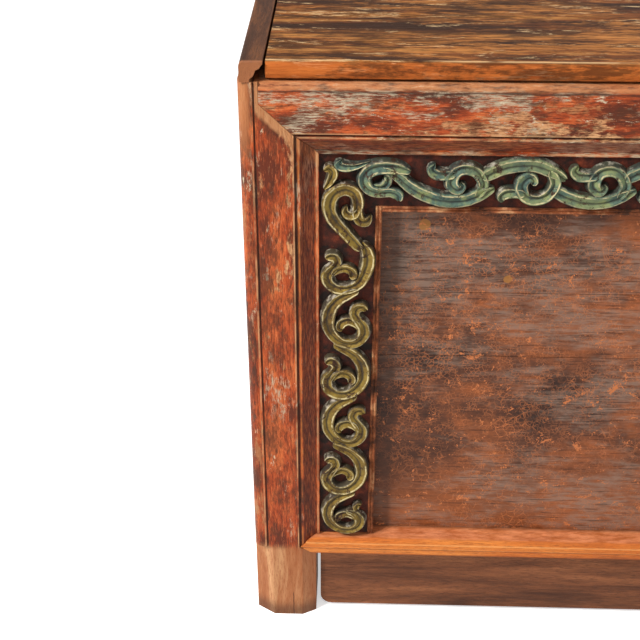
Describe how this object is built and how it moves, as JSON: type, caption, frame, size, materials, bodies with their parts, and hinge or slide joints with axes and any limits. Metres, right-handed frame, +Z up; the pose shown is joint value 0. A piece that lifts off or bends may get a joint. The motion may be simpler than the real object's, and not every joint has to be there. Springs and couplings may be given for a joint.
{
  "type": "painted chest",
  "caption": "Wooden storage chest of post, rail and panel construction, with a carved scroll frame round a recessed front panel and a pivoting front half-lid.",
  "frame": {"origin": "on the floor under the middle of the chest", "axes": "+Z up, +X along the chest's width to the right, -Y out of the carved front"},
  "size_m": [1.05, 0.54, 0.7195],
  "materials": {
    "red_paint": "old orange-red paint, flaking to pale ground and bare wood",
    "bare_orange": "worn waxed orange-brown wood",
    "dark_top": "dark worn stain over streaked grain, low sheen",
    "carved_frame": "carved scrolls in olive gold and blue-green on dark red",
    "crackled_lacquer": "brown crackled lacquer with grey haze, satin",
    "apron_brown": "worn brown stain, matt",
    "plain_wood": "unfinished aged softwood"
  },
  "bodies": {
    "carcass": {"front_post_left": "red_paint", "front_post_right": "red_paint", "back_post_left": "red_paint", "back_post_right": "red_paint", "front_top_rail": "red_paint", "side_top_rail_left": "red_paint", "side_top_rail_right": "red_paint", "back_top_rail": "plain_wood", "front_bottom_rail": "bare_orange", "side_bottom_rail_left": "bare_orange", "side_bottom_rail_right": "bare_orange", "back_bottom_rail": "plain_wood", "front_apron": "apron_brown", "side_apron_left": "apron_brown", "side_apron_right": "apron_brown", "front_board_1": "crackled_lacquer", "front_board_2": "crackled_lacquer", "front_board_3": "crackled_lacquer", "carved_border_left": "carved_frame", "carved_border_right": "carved_frame", "carved_border_top": "carved_frame", "inner_bead_left": "carved_frame", "inner_bead_right": "carved_frame", "inner_bead_top": "carved_frame", "side_board_left_1": "crackled_lacquer", "side_board_left_2": "crackled_lacquer", "side_board_right_1": "crackled_lacquer", "side_board_right_2": "crackled_lacquer", "back_board_1": "plain_wood", "back_board_2": "plain_wood", "back_board_3": "plain_wood", "floor_bearer_left": "plain_wood", "floor_bearer_right": "plain_wood", "floor_board_1": "plain_wood", "floor_board_2": "plain_wood", "floor_board_3": "plain_wood", "end_strip_left": "dark_top", "end_strip_right": "dark_top", "cross_rail": "plain_wood", "rear_top_board_1": "dark_top", "rear_top_board_2": "dark_top"},
    "lid": {"lid_front_board": "dark_top", "lid_rear_board": "dark_top", "lid_batten_left": "plain_wood", "lid_batten_right": "plain_wood", "lid_pin_left": "plain_wood", "lid_pin_right": "plain_wood"}
  },
  "joints": [
    {"name": "lid_hinge", "type": "hinge", "parent": "carcass", "child": "lid", "pos_m": [0, 0.0045, 0.711], "axis": [-1, 0, 0], "range_deg": [0, 95]}
  ]
}
